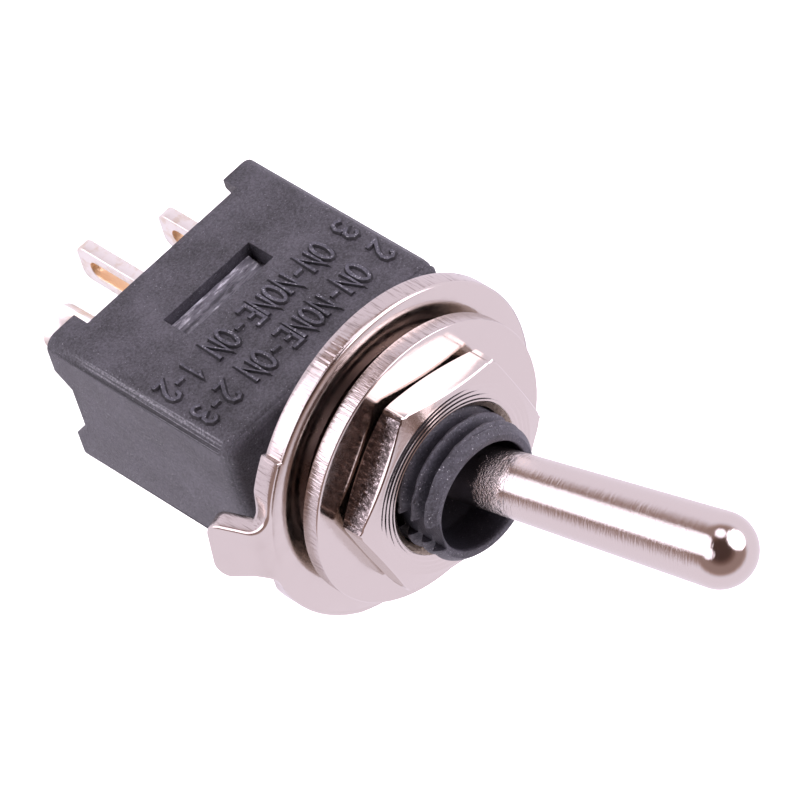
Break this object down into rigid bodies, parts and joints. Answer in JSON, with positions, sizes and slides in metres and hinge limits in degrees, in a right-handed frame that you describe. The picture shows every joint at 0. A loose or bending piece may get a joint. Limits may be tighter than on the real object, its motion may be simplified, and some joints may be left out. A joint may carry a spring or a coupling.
{
  "type": "toggle switch",
  "caption": "Miniature panel toggle switch: a plated tapered lever in a keyed threaded bush, with nut, washers and a tabbed locking ring, and solder lugs behind a black body.",
  "frame": {"origin": "centre of the bush, in the plane of the shoulder that the locking ring seats on", "axes": "+Z along the bush out towards the lever; X along the long side of the body, in the plane that the lever swings in, with the keyway and the ring's tab at +X; -Y is the wide face with the raised marking"},
  "size_m": [0.013, 0.0118, 0.028],
  "materials": {
    "body_plastic": "moulded, fine satin grain",
    "retainer_plastic": "natural acetal",
    "lever_nickel": "turned brass, nickel plated",
    "plunger_nylon": "natural nylon",
    "spring_steel": "drawn spring wire",
    "rocker_silver_plate": "pressed brass, silver plated",
    "contact_silver": "silver",
    "lug_silver_plate": "pressed brass, silver plated",
    "base_plastic": "moulded phenolic, rough",
    "seal_resin": "poured epoxy",
    "ring_nickel": "pressed steel, nickel plated",
    "washer_nickel": "pressed steel, nickel plated",
    "nut_nickel": "turned brass, nickel plated"
  },
  "bodies": {
    "base": {"housing": "body_plastic", "pivot_retainer": "retainer_plastic", "fixed_contact_left": "contact_silver", "fixed_contact_right": "contact_silver", "terminal_common": "lug_silver_plate", "terminal_left": "lug_silver_plate", "terminal_right": "lug_silver_plate", "terminal_base": "base_plastic", "terminal_seal": "seal_resin", "locking_ring": "ring_nickel", "tooth_washer": "washer_nickel", "flat_washer": "washer_nickel", "hex_nut": "nut_nickel"},
    "lever": {"toggle_lever": "lever_nickel", "plunger_spring": "spring_steel"},
    "plunger_pin": {"plunger": "plunger_nylon"},
    "rocker": {"rocker_contact": "rocker_silver_plate", "moving_contact_left": "contact_silver", "moving_contact_right": "contact_silver"}
  },
  "joints": [
    {"name": "lever_throw", "type": "hinge", "parent": "base", "child": "lever", "pos_m": [0, 0, 0.00104], "axis": [0, 1, 0], "range_deg": [0, 26.4]},
    {"name": "rocker_tilt", "type": "hinge", "parent": "base", "child": "rocker", "pos_m": [0, 0, -0.0049], "axis": [0, 1, 0], "range_deg": [-16, 0]},
    {"name": "plunger_slide", "type": "slide", "parent": "lever", "child": "plunger_pin", "axis": [-0.2284, 0, 0.9736], "range_m": [0, 0.0003], "stiffness_N_per_m": 1000, "springref_m": -0.0008, "deforming": ["plunger_spring"]}
  ],
  "couplings": [
    {"joint": "rocker_tilt", "follows": "lever_throw", "ratio": -0.60606}
  ]
}
